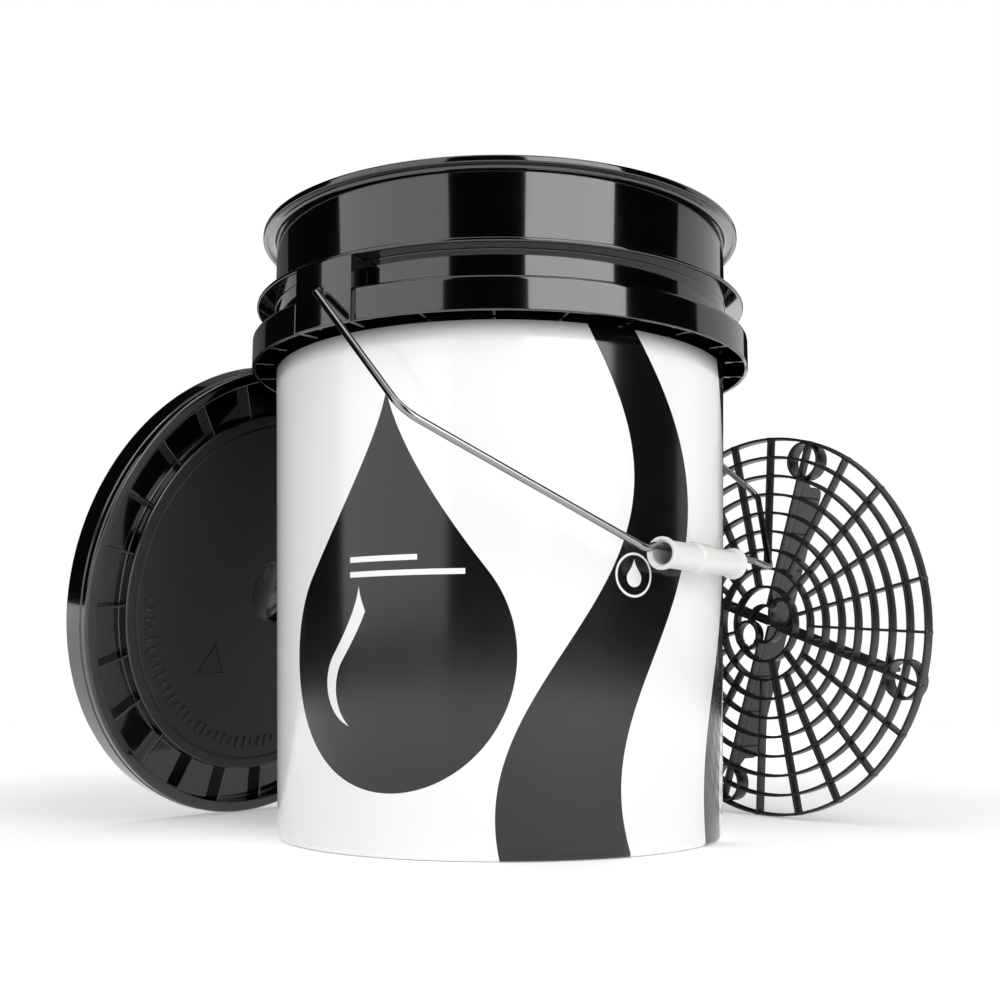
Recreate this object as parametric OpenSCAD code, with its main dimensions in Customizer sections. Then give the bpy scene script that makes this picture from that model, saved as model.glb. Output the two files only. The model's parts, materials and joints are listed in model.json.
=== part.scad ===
// Wash bucket with a swinging wire bail, a lid and a grit guard.
// The lid and the guard stand on the ground beside the open bucket, as they do in use.
// Millimetres, +Z up. The origin is the centre of the bucket's base, and the front faces -Y.

/* [Bucket] */
// Height from the base to the top of the rim
tub_h = 369; // [300:1:450]
// Radius of the straight bore inside the neck
neck_bore_r = 139.8; // [115:0.1:170]
// Wall of the neck
neck_wall = 2.6; // [2:0.1:4]
// Wall of the tapered body
body_wall = 2.4; // [1.8:0.1:4]
// Thickness of the floor
floor_t = 3; // [2:0.1:5]
// How much narrower the body is at its base than under the neck
body_taper = 7.3; // [4:0.1:12]
// Thickness of the printed sleeve on the body
wrap_t = 0.35; // [0.2:0.05:0.6]
// Thickness of the adhesive between the sleeve and the body
wrap_gap = 0.02; // [0.01:0.01:0.1]

/* [Rim and skirt] */
// How far the rim stands out from the neck
rim_out = 8.6; // [6:0.1:12]
// How far the flange stands out from the neck
flange_out = 11.3; // [8:0.1:14]
// Depth of the flange's underside below the rim's top
flange_drop = 49.2; // [44:0.1:56]
// How far the stacking skirt stands out from the neck
skirt_out = 13.4; // [10:0.1:18]
// Depth of the skirt's lower edge below the rim's top
skirt_drop = 87; // [80:1:96]
// Height of the stacking skirt
skirt_h = 19.4; // [14:0.1:24]
// Number of rib places round the skirt and round the lid's groove
rib_count = 24; // [12:2:36]
// Thickness of each rib
rib_t = 1.8; // [1:0.1:3]

/* [Bail] */
// Direction in which the first ear faces, turned from +X
ear_az = -128.7; // [-140:0.1:-115]
// Width of each ear, measured round the skirt
ear_w = 43; // [30:1:54]
// Depth of the pivot below the rim's top
pivot_drop = 67.5; // [55:0.5:82]
// Diameter of the bail wire
wire_d = 4; // [3:0.1:5]
// Spare room for the grip when it swings over the rim
bail_spare = 25.4; // [8:0.1:40]
// How far each leg leans out
leg_lean = 20.4; // [8:0.1:26]
// Length of each leg from the pivot to its bend
leg_len = 117.8; // [100:0.1:130]
// Length of the grip
grip_len = 79; // [60:1:120]
// Outer diameter of the grip
grip_d = 15; // [12:0.1:22]
// How far the grip's collar and its flared ends stand out
grip_flare = 1.4; // [0.5:0.1:3]
// Bore of the grip
grip_bore = 12; // [9:0.5:16]
// How far the grip has slid along the wire towards the first ear
grip_slide = 9; // [-9:0.5:9]

/* [Lid] */
// Depth of the lid's outer skirt
lid_skirt_h = 20; // [18:1:36]
// Width of the lid's ribbed groove
lid_groove_w = 23; // [18:1:24]
// Depth of the ribbed groove below the land
lid_groove_h = 9; // [7:1:16]
// Length of the plug wall below the groove
plug_h = 11; // [6:1:16]
// Radius of the dimple in the middle
dimple_r = 22; // [14:1:30]
// Lean of the lid against the skirt
lid_lean = 12; // [6:1:16]
// Direction in which the lid's face looks, turned from -Y
lid_yaw = 54; // [50:1:66]

/* [Grit guard] */
// Number of rings in the grid
ring_count = 10; // [8:1:12]
// Number of spokes in the grid
spoke_count = 24; // [16:8:32]
// Thickness of the rings and spokes
grid_t = 1.8; // [1.4:0.1:2.6]
// Height of the grid's bars
grid_h = 7; // [3:0.5:9]
// Depth of the guard from the grid's face to the fins' feet
guard_h = 28; // [24:1:60]
// Direction in which the guard's face looks, turned from -Y
guard_yaw = -52; // [-60:1:-44]

/* [Clearances] */
// Radial clearance of the bail's ends in the ears
pivot_clear = 0.1; // [0.05:0.01:0.3]
// Clearance of the wire inside the grip
grip_clear = 0.3; // [0.3:0.1:1]
// Gap between the resting grip and the bucket's side
rest_gap = 0.6; // [0.4:0.1:2]
// Radial clearance of the lid's plug in the neck
plug_clear = 0.6; // [0.3:0.1:1.2]
// Radial clearance of the lid's skirt round the widest thing that it passes
lid_clear = 0.9; // [0.5:0.1:2]
// Radial clearance of the guard at the bottom of the bucket
guard_clear = 0.6; // [0.3:0.1:2]
// Gap between the bucket and what stands beside it
stand_gap = 0.9; // [0.5:0.1:3]

/* [Hidden] */
$fn = 144;

// Bucket
neck_r = neck_bore_r + neck_wall;
shoulder_r = neck_r - 2;
base_r = shoulder_r - body_taper;
neck_foot_z = tub_h - skirt_drop + 9;
floor_top_z = 6;
foot_round = 3;
foot_ring = [base_r - 37.1, base_r - 19.1];
rim_r = neck_r + rim_out;
rim_t = 2.2;
rim_turn = 4.2;
flange_r = neck_r + flange_out;
flange_z = tub_h - flange_drop;
skirt_r = neck_r + skirt_out;
skirt_t = 2.2;
skirt_z = tub_h - skirt_drop;
skirt_top_z = skirt_z + skirt_h;
web_t = 2.4;
function body_r(z) = base_r + body_taper * z / skirt_z;

// Ears and bail
ear_span = ear_w / skirt_r * 180 / PI;
ear_out = 1.4;
ear_r = skirt_r + ear_out;
ear_wall = 3.4;
ear_top_t = 2;
cheek_deg = 1.1;
boss_r = 6.5;
boss_bore_r = 4.2;
pivot_z = tub_h - pivot_drop;
wire_r = wire_d / 2;
head_r = 3.4;
head_t = 1.6;
end_bend_r = 5;
corner_bend_r = 18;
jog_bend_r = 8;
jog_gap = 5.5;
jog_w = 14;
jog_dip = 5;
collar_r = grip_d / 2 + grip_flare;
collar_len = 12;
flare_len = 3;
grip_drop = grip_bore / 2 - wire_r - grip_clear;
bail_reach = sqrt(pow(rim_r, 2) + pow(pivot_drop, 2)) + collar_r + grip_drop + bail_spare;
leg_u = ear_r + wire_r + 2.6;
wall_gap = wrap_gap + wrap_t + collar_r + rest_gap;
rest_guess = acos((shoulder_r + wall_gap) / bail_reach);
grip_guess_z = pivot_z - bail_reach * sin(rest_guess);
bail_rest = acos((body_r(grip_guess_z) + wall_gap) / bail_reach);
leg_corner = [leg_u + leg_lean, leg_len];

// Lid, in its own frame: the land's face at z = 0 and looking along +Z
lid_wall = 2.4;
lid_in_r = max(rim_r, flange_r) + lid_clear;
lid_r = lid_in_r + lid_wall;
land_w = 8;
lid_under_z = -lid_groove_h - lid_wall;
skirt_seam_z = -6;
groove_r = lid_r - land_w;
panel_r = groove_r - lid_groove_w;
panel_z = -2;
plug_r = neck_bore_r - plug_clear;
plug_wall = 2.8;
gasket_t = 2.6;
gasket_w = 9;
lid_centre_z = lid_r * cos(lid_lean);
lid_slide = -8;

// The distance at which a leaning face of that lean just clears a circle of radius r at height z
function lean_dist(r, z) =
    r + (stand_gap + sin(lid_lean) * (min(z, 2 * lid_centre_z) - lid_centre_z)) / cos(lid_lean);
lid_dist = max(lean_dist(skirt_r, skirt_top_z), lean_dist(flange_r, flange_z + 3), lean_dist(rim_r, tub_h));

// Guard, in its own frame: the grid's face at z = 0 and looking along +Z
guard_r = body_r(floor_t + guard_h) - body_wall - guard_clear;
ring_step = (guard_r - 1) / ring_count;
hub_spin = 70.6;
finger_r = 13;
finger_wall = 1.6;
finger_h = grid_h + 4;
finger_at = 9 * ring_step;
socket_r = 10.4;
socket_wall = 2;
socket_at = 1.3 * ring_step;
fin_t = 2.2;
fin_foot_r = 0.76 * guard_r;
bail_corner_r = norm([leg_corner[0], leg_corner[1] * cos(bail_rest)]);
guard_dist = bail_corner_r + wire_r + stand_gap;
guard_slide = 36;

function along(a, dist) = dist * [cos(a), sin(a)];
// Points on an arc about c, from angle a0 to a1
function arc(c, r, a0, a1, n = 6) = [for (i = [0:n]) c + along(a0 + (a1 - a0) * i / n, r)];

// ---------------------------------------------------------------- frames

// Along the pivot axis: x runs out through the first ear, and y towards the hanging bail
module pivot_frame() {
    translate([0, 0, pivot_z]) rotate([0, 0, ear_az]) children();
}

// In the plane of the resting bail
module bail_frame() {
    pivot_frame() rotate([-bail_rest, 0, 0]) children();
}

// A disc that stands on its edge, at a distance from the bucket's axis and slid along its face
module standing(yaw, lean, dist, slide, height) {
    rotate([0, 0, yaw]) translate([slide, dist, height]) rotate([90 + lean, 0, 0]) children();
}

module lid_frame() {
    standing(lid_yaw, lid_lean, lid_dist, lid_slide, lid_centre_z) children();
}

module guard_frame() {
    standing(guard_yaw, 0, guard_dist, guard_slide, guard_r + 0.2) children();
}

// ---------------------------------------------------------------- bucket

module tub_floor() {
    foot_c = [body_r(foot_round) - foot_round, foot_round];
    color("#101011")
    rotate_extrude()
    polygon(concat(
        [[0, 0], [foot_ring[0], 0], [foot_ring[0] + 1, 1.2], [foot_ring[1] - 1, 1.2], [foot_ring[1], 0]],
        arc(foot_c, foot_round, -90, 0),
        [[body_r(floor_top_z), floor_top_z], [body_r(floor_top_z) - body_wall, floor_top_z]],
        arc([body_r(floor_top_z) - body_wall - 3, floor_top_z], 3, 0, -90),
        [[0, floor_t]]));
}

module tub_wall() {
    lip_z = tub_h - rim_t;
    color("#0c0c0d")
    rotate_extrude()
    polygon(concat(
        [[body_r(floor_top_z), floor_top_z], [shoulder_r, skirt_z], [shoulder_r, neck_foot_z - 4],
            [neck_r, neck_foot_z], [neck_r, flange_z]],
        arc([flange_r - 1.2, flange_z + 1.2], 1.2, -90, 0, 3),
        arc([flange_r - 1.2, flange_z + 1.4], 1.2, 0, 90, 3),
        [[neck_r + 1.2, flange_z + 3.2], [neck_r, flange_z + 4.4]],
        arc([neck_r + 3.4, lip_z - 3.4], 3.4, 180, 90),
        arc([rim_r - 1.3, tub_h - rim_turn + 1.3], 1.3, 180, 360),
        arc([rim_r - 1.4, tub_h - 1.4], 1.4, 0, 90),
        arc([neck_bore_r + 1.8, tub_h - 1.8], 1.8, 90, 180),
        [[neck_bore_r, neck_foot_z - 2], [shoulder_r - body_wall, neck_foot_z - 6],
            [shoulder_r - body_wall, skirt_z], [body_r(floor_top_z) - body_wall, floor_top_z]]));
}

// One half of the skirt, from one ear round to the other
module skirt_half() {
    rotate([0, 0, ear_span / 2])
    rotate_extrude(angle = 180 - ear_span)
    polygon(concat(
        [[neck_r, skirt_top_z - web_t], [skirt_r - skirt_t, skirt_top_z - web_t]],
        [[skirt_r - skirt_t, skirt_z + 0.8], [skirt_r - skirt_t + 0.8, skirt_z], [skirt_r - 0.6, skirt_z],
            [skirt_r, skirt_z + 0.6]],
        arc([skirt_r - 3, skirt_top_z - 3], 3, 0, 90),
        [[neck_r, skirt_top_z]]));
}

module stacking_skirt() {
    color("#0c0c0d")
    rotate([0, 0, ear_az])
    for (turn = [0, 180])
        rotate([0, 0, turn]) skirt_half();
}

// Turn of each rib place from the first ear
function rib_turn(i) = (i + 0.5) * 360 / rib_count;
// The places beside an ear stay free, because the ear's own cheeks stand there
function clear_of_ears(turn) = let (off = turn % 180) min(off, 180 - off) > ear_span / 2 + 1;

module skirt_ribs() {
    rib_len = skirt_out - skirt_t;
    color("#0c0c0d")
    for (i = [0:rib_count - 1])
        if (clear_of_ears(rib_turn(i)))
            rotate([0, 0, ear_az + rib_turn(i)])
            translate([neck_r + 0.02, -rib_t / 2, skirt_z + 0.8])
            cube([rib_len - 0.1, rib_t, skirt_h - web_t - 0.8]);
}

// A box that is open below, with a bored boss for the bail's end
module bail_ear() {
    rotate([0, 0, -ear_span / 2])
    rotate_extrude(angle = ear_span)
    polygon([[ear_r - ear_wall, skirt_z + 0.6], [ear_r - ear_wall + 0.6, skirt_z], [ear_r - 0.8, skirt_z],
        [ear_r, skirt_z + 0.8], [ear_r, flange_z - 1.2], [ear_r - 1.2, flange_z], [neck_r, flange_z],
        [neck_r, flange_z - ear_top_t], [ear_r - ear_wall, flange_z - ear_top_t]]);
    for (side = [-ear_span / 2, ear_span / 2 - cheek_deg])
        rotate([0, 0, side])
        rotate_extrude(angle = cheek_deg)
        translate([neck_r, skirt_z])
        square([ear_r - ear_wall / 2 - neck_r, flange_z - ear_top_t / 2 - skirt_z]);
    intersection() {
        translate([neck_r + 1.4, 0, pivot_z]) rotate([0, 90, 0])
            cylinder(r = boss_r, h = ear_r - ear_wall - neck_r - 1.2);
        translate([0, -boss_r, skirt_z]) cube([ear_r, 2 * boss_r, flange_z - 0.2 - skirt_z]);
    }
}

// The wire's hole goes through the ear's wall, and its head turns in the wider hole behind
module bored_ear() {
    bore_from = neck_r - 2;
    difference() {
        bail_ear();
        translate([bore_from, 0, pivot_z]) rotate([0, 90, 0]) {
            cylinder(r = wire_r + pivot_clear, h = ear_r + 1 - bore_from);
            cylinder(r = boss_bore_r, h = ear_r - ear_wall - bore_from);
        }
    }
}

module bail_ear_front() {
    color("#0c0c0d") rotate([0, 0, ear_az]) bored_ear();
}

module bail_ear_rear() {
    color("#0c0c0d") rotate([0, 0, ear_az + 180]) bored_ear();
}

module printed_wrap() {
    foot_c = [body_r(foot_round) - foot_round, foot_round];
    out = wrap_gap + wrap_t;
    color("#f1f1f1")
    rotate_extrude()
    polygon(concat(
        arc(foot_c, foot_round + wrap_gap, -60, 0, 4),
        [[body_r(floor_top_z) + wrap_gap, floor_top_z], [body_r(skirt_z - 1) + wrap_gap, skirt_z - 1]],
        [[body_r(skirt_z - 1) + out, skirt_z - 1], [body_r(floor_top_z) + out, floor_top_z]],
        arc(foot_c, foot_round + out, 0, -60, 4)));
}

// ---------------------------------------------------------------- bail

function heading(p, q) = atan2(q[1] - p[1], q[0] - p[0]);
function turn_at(p, i) =
    let (t = heading(p[i], p[i + 1]) - heading(p[i - 1], p[i])) t > 180 ? t - 360 : t < -180 ? t + 360 : t;
// Length that a bend of radius r takes off the straights at point i
function bend_cut(p, r, i) = r * tan(abs(turn_at(p, i)) / 2);

// Stations [x, y, heading] round one bend of a path
function bend(p, r, i, n) =
    let (a = heading(p[i - 1], p[i]), turn = turn_at(p, i), side = turn > 0 ? 1 : -1,
         c = p[i] - along(a, bend_cut(p, r, i)) + along(a + 90, side * r))
    [for (j = [0:n]) let (h = a + turn * j / n, q = c - along(h + 90, side * r)) [q[0], q[1], h]];

// Stations along a path through the points p, bent to the radii r
function bent_path(p, r) =
    let (last = len(p) - 1)
    concat([[p[0][0], p[0][1], heading(p[0], p[1])]],
        [for (i = [1:last - 1]) each bend(p, r[i], i, 4 + ceil(r[i] / 8))],
        [[p[last][0], p[last][1], heading(p[last - 1], p[last])]]);

// A wire with many flat sides, in the XY plane, through a path's stations
module swept_wire(path, r, sides = 12) {
    last = len(path) - 1;
    points = [for (s = path) for (k = [0:sides - 1])
        let (a = k * 360 / sides, q = along(s[2] + 90, r * cos(a))) [s[0] + q[0], s[1] + q[1], r * sin(a)]];
    walls = [for (i = [0:last - 1]) for (k = [0:sides - 1])
        let (a = i * sides + k, b = i * sides + (k + 1) % sides)
        each [[a, b + sides, b], [a, a + sides, b + sides]]];
    near = [for (k = [0:sides - 1]) k];
    far = [for (k = [sides - 1:-1:0]) last * sides + k];
    polyhedron(points = points, faces = concat(walls, [near, far]));
}

// The ends are true round pins, and the bent wire between them starts a little way inside each
module bail_wire() {
    head_u = ear_r - ear_wall - 0.6;
    pin_end = leg_u - end_bend_r + 0.2;
    jog_u = grip_len / 2 + abs(grip_slide) + jog_gap;
    half = [[pin_end - 3, 0], [leg_u, 0], leg_corner,
        [jog_u + jog_w, bail_reach + jog_dip], [jog_u, bail_reach]];
    radii = [0, end_bend_r, corner_bend_r, jog_bend_r, jog_bend_r];
    last = len(half) - 1;
    points = concat(half, [for (i = [last:-1:0]) [-half[i][0], half[i][1]]]);
    bends = concat(radii, [for (i = [last:-1:0]) radii[i]]);
    color("#c9ccd0")
    bail_frame() {
        swept_wire(bent_path(points, bends), wire_r - 0.02);
        for (turn = [0, 180])
            rotate([0, 0, turn]) translate([head_u - head_t, 0, 0]) rotate([0, 90, 0]) {
                cylinder(r = head_r, h = head_t);
                cylinder(r = wire_r, h = pin_end - head_u + head_t);
            }
    }
}

module grip() {
    end = grip_len / 2;
    r = grip_d / 2;
    bore = grip_bore / 2;
    color("#f4f4f4")
    pivot_frame()
    translate([grip_slide, bail_reach * cos(bail_rest), -bail_reach * sin(bail_rest) - grip_drop])
    rotate([0, 90, 0])
    rotate_extrude()
    polygon([[bore, -end + 1], [bore + 1, -end], [collar_r - 0.6, -end], [collar_r, -end + 0.6],
        [r, -end + flare_len], [r, -collar_len / 2 - 2], [collar_r, -collar_len / 2],
        [collar_r, collar_len / 2], [r, collar_len / 2 + 2], [r, end - flare_len],
        [collar_r, end - 0.6], [collar_r - 0.6, end], [bore + 1, end], [bore, end - 1]]);
}

// ---------------------------------------------------------------- lid

module lid_panel() {
    under_z = panel_z - lid_wall;
    dimple_h = 4;
    mark_r = panel_r - 8.5;
    color("#17181a")
    lid_frame()
    rotate_extrude()
    polygon(concat(
        [[0, under_z - dimple_h], [dimple_r - 3, under_z - dimple_h], [dimple_r + 1, under_z],
            [panel_r, under_z]],
        arc([panel_r - 2, panel_z - 2], 2, 0, 90, 4),
        [[mark_r + 1.4, panel_z], [mark_r + 1, panel_z - 0.7], [mark_r, panel_z - 0.7],
            [mark_r - 0.4, panel_z]],
        [[dimple_r, panel_z], [dimple_r - 4, panel_z - dimple_h], [0, panel_z - dimple_h]]));
}

// The groove's two walls and floor, and the land round it
module lid_groove() {
    outer_r = groove_r + 1.2;
    color("#0d0d0e")
    lid_frame()
    rotate_extrude()
    polygon(concat(
        [[panel_r, panel_z - lid_wall], [panel_r - lid_wall, panel_z - lid_wall],
            [panel_r - lid_wall, lid_under_z], [outer_r, lid_under_z], [outer_r, -lid_wall],
            [lid_in_r, -lid_wall], [lid_in_r, skirt_seam_z], [lid_r - 0.6, skirt_seam_z]],
        arc([lid_r - 2.6, -2], 2, 0, 90, 4),
        arc([groove_r + 1.5, -1.5], 1.5, 90, 180, 4),
        [[groove_r, -lid_groove_h], [panel_r, -lid_groove_h]]));
}

module lid_ribs() {
    rib_len = groove_r - panel_r;
    color("#0d0d0e")
    lid_frame()
    for (i = [0:rib_count - 1])
        rotate([0, 0, rib_turn(i)])
        translate([panel_r + 0.05, -rib_t / 2, -lid_groove_h])
        cube([rib_len - 0.1, rib_t, lid_groove_h - 3]);
}

module lid_plug() {
    foot_z = lid_under_z - plug_h;
    color("#0d0d0e")
    lid_frame()
    rotate_extrude()
    polygon([[plug_r - plug_wall, lid_under_z], [plug_r - plug_wall, foot_z], [plug_r - 1, foot_z],
        [plug_r, foot_z + 2], [plug_r, lid_under_z]]);
}

module lid_skirt() {
    color("#0d0d0e")
    lid_frame()
    rotate_extrude()
    polygon([[lid_in_r, skirt_seam_z], [lid_in_r, -lid_skirt_h + 1], [lid_in_r + 0.6, -lid_skirt_h],
        [lid_r - 0.6, -lid_skirt_h], [lid_r, -lid_skirt_h + 1], [lid_r, skirt_seam_z]]);
}

module lid_gasket() {
    color("#3a3b3d")
    lid_frame()
    translate([0, 0, lid_under_z - gasket_t])
    difference() {
        cylinder(r = plug_r + gasket_w, h = gasket_t);
        translate([0, 0, -1]) cylinder(r = plug_r, h = gasket_t + 2);
    }
}

// ---------------------------------------------------------------- grit guard

module ring(r, t) {
    difference() {
        circle(r = r + t / 2);
        circle(r = r - t / 2);
    }
}

// Each spoke starts at the hub, the second ring or the third, so that the middle stays open
module spoke(i) {
    quarter = spoke_count / 4;
    place = i % quarter;
    start = place == 0 ? 1 : place % 2 == 0 ? 2 : 3;
    rotate(i * 360 / spoke_count)
    translate([start * ring_step, -grid_t / 2])
    square([guard_r - start * ring_step, grid_t]);
}

module finger_ring() {
    translate([finger_at, 0]) ring(finger_r - finger_wall / 2, finger_wall);
}

module grid_outline() {
    difference() {
        union() {
            for (k = [1:ring_count])
                ring(k * ring_step, grid_t);
            for (i = [0:spoke_count - 1])
                spoke(i);
            for (i = [0:3])
                rotate(90 * i) finger_ring();
            for (turn = [-45, 135])
                rotate(turn) translate([socket_at, 0]) circle(r = socket_r);
        }
        for (turn = [-45, 135])
            rotate(turn) translate([socket_at, 0]) circle(r = socket_r - socket_wall);
    }
}

module guard_grid() {
    color("#17181a")
    guard_frame()
    rotate([0, 0, hub_spin]) {
        translate([0, 0, -grid_h]) linear_extrude(grid_h) grid_outline();
        for (i = [0:3])
            rotate([0, 0, 90 * i]) translate([0, 0, -finger_h])
                linear_extrude(finger_h - grid_h) finger_ring();
    }
}

// One fin, with a rounded foot and small upright beads on both sides
module guard_fin(i) {
    tip_r = finger_at - finger_r;
    color("#17181a")
    guard_frame()
    rotate([0, 0, hub_spin + 90 * i])
    difference() {
        union() {
            translate([0, fin_t / 2, 0]) rotate([90, 0, 0]) linear_extrude(fin_t)
                polygon(concat(
                    [[fin_t / 2 + 0.05, -grid_h], [fin_t / 2 + 0.05, -guard_h], [fin_foot_r - 6, -guard_h]],
                    arc([fin_foot_r - 6, -guard_h + 6], 6, -90, 0),
                    [[fin_foot_r, -grid_h - 8], [tip_r + 2, -grid_h - 4], [tip_r + 2, -grid_h]]));
            for (k = [3, 5, 7])
                translate([k * ring_step, 0, -guard_h + 2])
                    cylinder(r = fin_t / 2 + 0.9, h = guard_h - grid_h - 2, $fn = 24);
        }
        translate([finger_at, 0, -guard_h - 1]) cylinder(r = finger_r, h = guard_h + 2);
    }
}

module guard_fin_1() { guard_fin(0); }
module guard_fin_2() { guard_fin(1); }
module guard_fin_3() { guard_fin(2); }
module guard_fin_4() { guard_fin(3); }

tub_floor();
tub_wall();
stacking_skirt();
skirt_ribs();
bail_ear_front();
bail_ear_rear();
printed_wrap();
bail_wire();
grip();
lid_panel();
lid_groove();
lid_ribs();
lid_plug();
lid_skirt();
lid_gasket();
guard_grid();
guard_fin_1();
guard_fin_2();
guard_fin_3();
guard_fin_4();
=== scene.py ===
import json
import math

import bmesh
import bpy
from bpy.props import FloatProperty, FloatVectorProperty, IntProperty, PointerProperty
from mathutils import Matrix, Vector


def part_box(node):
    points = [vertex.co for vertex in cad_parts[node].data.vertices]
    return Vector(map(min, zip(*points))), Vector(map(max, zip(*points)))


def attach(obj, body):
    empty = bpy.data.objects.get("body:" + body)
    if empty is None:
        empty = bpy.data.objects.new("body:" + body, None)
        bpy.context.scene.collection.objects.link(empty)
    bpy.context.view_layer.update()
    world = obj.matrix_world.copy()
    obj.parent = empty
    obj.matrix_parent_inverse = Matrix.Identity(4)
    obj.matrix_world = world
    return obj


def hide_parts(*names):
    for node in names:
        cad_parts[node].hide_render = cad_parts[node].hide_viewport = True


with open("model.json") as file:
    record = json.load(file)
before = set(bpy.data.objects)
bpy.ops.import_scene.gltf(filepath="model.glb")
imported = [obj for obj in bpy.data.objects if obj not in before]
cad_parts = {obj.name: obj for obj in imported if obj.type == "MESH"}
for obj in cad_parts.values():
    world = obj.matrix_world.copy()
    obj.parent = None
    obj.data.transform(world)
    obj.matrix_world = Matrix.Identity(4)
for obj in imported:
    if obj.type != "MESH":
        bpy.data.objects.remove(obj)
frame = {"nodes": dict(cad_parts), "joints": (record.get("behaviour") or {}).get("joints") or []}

bl_info = {
    "name": "Wash bucket",
    "version": (1, 0, 0),
    "blender": (4, 5, 0),
    "location": "View3D > Sidebar > Wash bucket",
    "description": "Builds a wash bucket with its bail, grip, lid and grit guard round a packed frame",
    "category": "Add Mesh",
}

MM = 0.001
UP = Vector((0, 0, 1))
ROUND = 256              # segments of a full turn
BEND_STEPS = 4           # segments of a rounded corner
HOLD = 0.35              # millimetres of flat kept beside a rounded corner
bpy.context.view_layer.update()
JOINTS = {joint["name"]: joint for joint in frame["joints"]}


# ---------------------------------------------------------------- places, from the frame

def span(node, way):
    """The lowest and highest place of a CAD node along a direction."""
    places = [vertex.co.dot(way) for vertex in frame["nodes"][node].data.vertices]
    return min(places), max(places)


def middle(node, way):
    low, high = span(node, way)
    return (low + high) / 2


def axes_at(right, rise, face, place):
    """A matrix with those three axes, at a place."""
    turned = Matrix((right, rise, face)).transposed().to_4x4()
    return Matrix.Translation(place) @ turned


def standing_axes(joint, lean, disc, face_node):
    """The axes of a disc that stands on its edge and slides away along its joint."""
    out = Vector(JOINTS[joint]["axis"]).normalized()
    right = out.cross(UP)
    face = (-out * math.cos(lean) - UP * math.sin(lean)).normalized()
    rise = face.cross(right)
    place = right * middle(disc, right) + rise * middle(disc, rise) + face * span(face_node, face)[1]
    return axes_at(right, rise, face, place)


def bail_axes():
    """Along the pivot axis, then from it towards the hanging grip."""
    hinge = JOINTS["bail_swing"]
    right = Vector(hinge["axis"]).normalized()
    place = Vector(hinge["pos_m"])
    hang = Vector(JOINTS["grip_spin"]["pos_m"]) + Vector((0, 0, BAIL_DROP)) - place
    hang -= right * hang.dot(right)
    return axes_at(right, hang.normalized(), right.cross(hang.normalized()), place), hang.length


TUB_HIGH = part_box("tub_wall")[1]
TUB_HEIGHT = TUB_HIGH.z
FLANGE_RADIUS = TUB_HIGH.x
SLEEVE_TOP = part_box("printed_wrap")[1].z
EAR_TURN = math.atan2(JOINTS["bail_swing"]["axis"][1], JOINTS["bail_swing"]["axis"][0])
WIRE_RADIUS = 2.0 * MM
GRIP_BORE = 6.0 * MM
BAIL_DROP = GRIP_BORE - WIRE_RADIUS - 0.3 * MM


# ---------------------------------------------------------------- sizes and colours

def linear(code):
    """The linear colour of an sRGB hex code."""
    shares = [int(code[i:i + 2], 16) / 255 for i in (1, 3, 5)]
    return tuple(s / 12.92 if s <= 0.04045 else ((s + 0.055) / 1.055) ** 2.4 for s in shares)


def length(name, description, default):
    return FloatProperty(name=name, description=description, default=default, unit="LENGTH",
                         subtype="DISTANCE", min=0.0, precision=4)


def colour(name, description, code):
    return FloatVectorProperty(name=name, description=description, default=linear(code), size=3,
                               subtype="COLOR", min=0.0, max=1.0)


class TubSizes(bpy.types.PropertyGroup):
    """Sizes of the pail"""
    height: length("Height", "From the base to the top of the rim", TUB_HEIGHT)
    bore: length("Neck bore", "Radius of the straight bore in the neck", 139.8 * MM)
    neck_wall: length("Neck wall", "Wall of the neck", 2.6 * MM)
    body_wall: length("Body wall", "Wall of the tapered body", 2.4 * MM)
    shoulder: length("Shoulder", "Radius of the body under the neck", 140.4 * MM)
    base: length("Base", "Radius of the body at the ground", 133.1 * MM)
    flange: length("Flange", "Radius of the flange", FLANGE_RADIUS)
    flange_drop: length("Flange drop", "From the rim's top to the flange's underside", 49.2 * MM)
    rim: length("Rim", "Radius of the turned rim", 151.0 * MM)
    skirt: length("Skirt", "Radius of the stacking skirt", 155.8 * MM)
    skirt_drop: length("Skirt drop", "From the rim's top to the skirt's lower edge", 87.0 * MM)
    skirt_height: length("Skirt height", "Height of the stacking skirt", 19.4 * MM)
    sleeve: length("Sleeve", "Thickness of the printed sleeve", 0.35 * MM)
    ear: length("Ear", "Width of a bail ear, round the skirt", 43.0 * MM)
    ribs: IntProperty(name="Ribs", description="Rib places round the skirt", default=24, min=2)
    rib: length("Rib thickness", "Thickness of a rib", 1.8 * MM)


class BailSizes(bpy.types.PropertyGroup):
    """Sizes of the bail and its grip"""
    wire: length("Wire", "Radius of the wire", WIRE_RADIUS)
    leg_out: length("Leg", "From the middle to where a leg starts", 161.8 * MM)
    lean: length("Lean", "How far a leg leans out", 20.4 * MM)
    leg: length("Leg length", "From the pivot to a leg's bend", 117.8 * MM)
    jog_out: length("Jog", "From the middle to the jog beside the grip", 54.0 * MM)
    jog_dip: length("Jog dip", "How far the jog beside the grip dips", 5.0 * MM)
    grip_length: length("Grip length", "Length of the grip", 79.0 * MM)
    grip_radius: length("Grip radius", "Outer radius of the grip", 7.5 * MM)
    grip_bore: length("Grip bore", "Inner radius of the grip", GRIP_BORE)
    flare: length("Flare", "How far the grip's collar and ends stand out", 1.4 * MM)


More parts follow.
